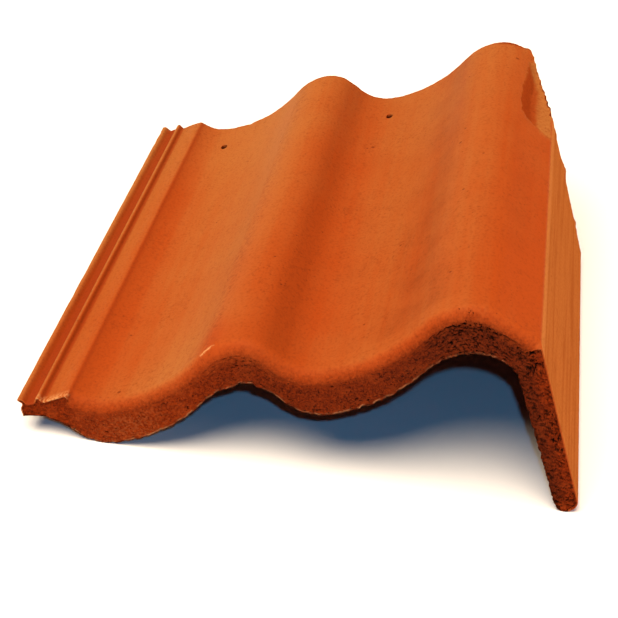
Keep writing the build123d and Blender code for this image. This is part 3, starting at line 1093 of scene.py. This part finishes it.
# %% Specks, pits and rubbed places
RUBBED = (0.560, 0.250, 0.0900, 1)
PIT_RAGGED = 0.0016
PITS = (
    (205.9, 0.8, 325, 2.0), (201.9, 2.0, 322, 1.2), (291.0, 27.8, 247, 1.9), (169.0, 30.0, 112, 1.2),
    (177.8, 24.5, 81, 1.1), (234.6, 2.0, 50, 1.2), (56.9, 0.6, 84, 1.3), (67.5, 0.1, 13, 1.8),
    (328.2, 25.6, 392, 2.2), (299.9, 30.6, 164, 1.4), (293.6, 28.8, 268, 1.4), (90.0, 3.2, 233, 1.3),
    (299.4, 30.5, 52, 1.3), (134.1, 24.0, 318, 1.5), (250.6, 6.2, 142, 1.2), (289.3, 27.0, 370, 1.3),
    (311.5, 31.7, 214, 1.0),
)

speck_patch = mapped(noise_at(26, 2), 0.45, 0.62)
specks = times(dots_at(330, 0.36, 0.35), speck_patch)
pits = dots_at(85, 0.085, 0.10)
for across_at, rise_at, up_at, radius in PITS:
    middle = (MM * across_at, MM * rise_at, MM * up_at)
    distance = node("ShaderNodeVectorMath", {"operation": "DISTANCE"}, i0=tile_place, i1=middle)
    far = maths("ADD", distance.outputs["Value"], times(minus(fine, 0.5), PIT_RAGGED))
    pits = maths("MAXIMUM", pits, mapped(far, MM * radius, 0.4 * MM * radius))
place_of = node("ShaderNodeSeparateXYZ", i0=tile_place)
off_band = maths("ABSOLUTE", minus(place_of.outputs[0], 0.139))
band = times(mapped(off_band, 0.009, 0.002), mapped(noise_at(330, 3), 0.46, 0.62))
coat = blend(times(band, 0.28), coat, SPECK)
coat = blend(times(specks, 0.42), coat, SPECK)
mottle = times(mapped(noise_at(190, 4), 0.52, 0.68), speck_patch)
coat = blend(times(mottle, 0.20), coat, SPECK)
# Dark mottle: wear, and painted shade on the shoulder.
coat = blend(times(mark("wear_and_shade"), mapped(noise_at(45, 4), 0.30, 0.70, 0.04, 0.26)), coat, SPECK)
coat = blend(times(pits, 0.8), coat, SPECK)
rubbed = times(mark("rub"), mapped(noise_at(500, 2), 0.35, 0.55))
coat = blend(rubbed, coat, RUBBED)
print("coating has", len(PITS), "larger pits")

# %% [markdown]
# ## Bare concrete
# Torn concrete shows grains of several sizes, some pale, with black pores between them, and a
# fringe of lime where the mould's edge was. Noise at four scales gives the grains; the pores and
# the lime come from the marks, so that they sit exactly where the mesh is torn.

# %% Colour of the bare concrete
RED_BROWN = (0.228, 0.0248, 0.0026, 1)
DARK_BROWN = (0.120, 0.0128, 0.0019, 1)
GRIT = (0.310, 0.0447, 0.0070, 1)
PALE_GRIT = (0.400, 0.1050, 0.0260, 1)
PORE = (0.010, 0.0030, 0.0015, 1)
LIME = (0.520, 0.2300, 0.1000, 1)
SHADED = (0.040, 0.0085, 0.0035, 1)

grit = noise_at(620, 4, roughness=0.68)
raw = blend(mapped(grit, 0.38, 0.62), DARK_BROWN, RED_BROWN)
raw = blend(mapped(noise_at(900, 2), 0.58, 0.70, 0.0, 0.7), raw, GRIT)
raw = blend(mapped(noise_at(75, 3), 0.48, 0.70, 0.0, 0.45), raw, GRIT)
raw = blend(mapped(noise_at(240, 3), 0.55, 0.72, 0.0, 0.55), raw, DARK_BROWN)
# Painted shade: the bare front darkens towards the flange end.
raw = blend(times(mark("dark_end"), 0.54), raw, SHADED)
pale_grains = mapped(noise_at(520, 3), 0.42, 0.60, 0.0, 0.28)
raw = blend(times(mark("pale_end"), pale_grains), raw, PALE_GRIT)
open_grain = minus(noise_at(640, 2), times(mark("dark_end"), 0.07))
raw = blend(times(mapped(open_grain, 0.38, 0.28), 0.8), raw, PORE)
raw = blend(mapped(mark("pore"), 0.1, 0.7), raw, PORE)
limed = times(mark("lime"), mapped(noise_at(170, 4), 0.41, 0.55, 0.0, 0.9))
raw = blend(limed, raw, LIME)
# The underside is painted near black: painted shade under the tile.
raw = blend(times(mark("hidden"), 0.85), raw, SHADED)
print("finish has", len(tree.nodes), "nodes so far")

# %% Put the finish together
COAT_ROUGH, RAW_ROUGH, COAT_SPECULAR = 0.62, 0.92, 0.03

ragged_edge = maths("ADD", mark("bare"), times(minus(noise_at(380, 4), 0.5), 0.5))
is_bare = maths("MAXIMUM", mapped(ragged_edge, 0.08, 0.92), mapped(mark("pore"), 0.2, 0.6))
join(blend(is_bare, coat, raw), shader.inputs["Base Color"])
join(mapped(is_bare, 0, 1, COAT_ROUGH, RAW_ROUGH), shader.inputs["Roughness"])

fine_height = times(noise_at(700, 3), 0.06)
roller_height = times(noise_at(160, 2, (1, 1, 0.15)), 0.08)
coat_height = minus(maths("ADD", fine_height, roller_height), times(pits, 0.25))
raw_height = times(grit, 0.9)
height = node("ShaderNodeMix", {"data_type": "FLOAT"}, i0=is_bare, i2=coat_height, i3=raw_height)
relief = node("ShaderNodeBump", Strength=0.8, Distance=0.001, Height=height.outputs[0])
join(relief.outputs[0], shader.inputs["Normal"])
join(mapped(mark("edge_on"), 0.0, 0.5, COAT_SPECULAR, 0.0), shader.inputs["Specular IOR Level"])
print("finish has", len(tree.nodes), "nodes")

# %% Dress the tile
skin_mesh.materials.clear()
skin_mesh.materials.append(finish)
set_side(skin_mesh, 0)
skin_mesh.shade_smooth()
skin_mesh.set_sharp_from_angle(angle=math.radians(40))
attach(tile, "root")
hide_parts("verge_tile")

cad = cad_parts["verge_tile"].data
cad_points, cad_faces = [v.co for v in cad.vertices], [p.vertices[:] for p in cad.polygons]
cad_tree = BVHTree.FromPolygons(cad_points, cad_faces)
gaps = np.array([cad_tree.find_nearest(Vector(p))[3] for p in place[::7]]) / MM
print("triangles", int((face_size - 2).sum()))
print("distance from the CAD surface: largest", gaps.max().round(2), "mm, mean", gaps.mean().round(3))

# %% [markdown]
# ## Floor and light
# The tile lies on a plain pale floor. One very broad lamp, high up and a little to the front left,
# gives soft, even light. Two weak ones stand low on the right and the left, for the flange and the
# lap, and a small cool one by the camera reaches in under the rolls. Lamps are easier to steer than
# a world picture and need no file.

# %% Floor
FLOOR_HALF = 6.0
FLOOR_COLOUR, FLOOR_ROUGH = (0.92, 0.92, 0.91, 1), 0.9

corners = [(-1, -1), (1, -1), (1, 1), (-1, 1)]
floor_mesh = bpy.data.meshes.new("floor")
floor_mesh.from_pydata([(x * FLOOR_HALF, y * FLOOR_HALF, 0) for x, y in corners], [], [(0, 1, 2, 3)])
paper = bpy.data.materials.new("pale_floor")
paper.use_nodes = True
paper_inputs = paper.node_tree.nodes["Principled BSDF"].inputs
paper_inputs["Base Color"].default_value = FLOOR_COLOUR
paper_inputs["Roughness"].default_value = FLOOR_ROUGH
floor_mesh.materials.append(paper)
floor = add_object("floor", floor_mesh)
print("floor laid")

# %% Lamps
WARM, COOL = (1.0, 0.82, 0.63), (0.14, 0.52, 1.0)
KEY_POWER, KEY_ANGLE, KEY_DIRECTION = 5.85, math.radians(48), Vector((0.23, 0.275, -0.93))
RIGHT_POWER, LEFT_POWER, CAMERA_LAMP_POWER = 40, 9, 2.2
SIDE_SIZE, CAMERA_LAMP_SIZE = 1.0, 0.02


def place_lamp(light, at, toward):
    """Lamp object at a place, looking along a direction."""
    made = add_object(light.name, light)
    made.location = at
    made.rotation_euler = toward.to_track_quat("-Z", "Y").to_euler()


def square_lamp(name, at, aim, size, power, colour):
    """Square area lamp that looks at a point."""
    light = bpy.data.lights.new(name, "AREA")
    light.size, light.energy, light.color = size, power, colour
    place_lamp(light, at, Vector(aim) - Vector(at))


key = bpy.data.lights.new("key_lamp", "SUN")
key.energy, key.color, key.angle = KEY_POWER, WARM, KEY_ANGLE
place_lamp(key, (0, 0, 0), KEY_DIRECTION)
square_lamp("right_lamp", (2.4, -0.2, 0.30), (0.1, 0, 0.05), SIDE_SIZE, RIGHT_POWER, WARM)
square_lamp("left_lamp", (-2.4, -0.5, 0.55), (-0.1, 0, 0.02), SIDE_SIZE, LEFT_POWER, WARM)
by_camera = CAMERA_PLACE + 0.055 * camera_up + 0.030 * camera_right
square_lamp("camera_lamp", by_camera, CAMERA_AIM, CAMERA_LAMP_SIZE, CAMERA_LAMP_POWER, COOL)

world = bpy.data.worlds.new("studio")
bpy.context.scene.world = world
world.use_nodes = True
world_inputs = world.node_tree.nodes["Background"].inputs
world_inputs["Color"].default_value = (1.0, 0.98, 0.95, 1)
world_inputs["Strength"].default_value = 0.012
bpy.context.scene.view_settings.view_transform = "Standard"
print("lamps lit")
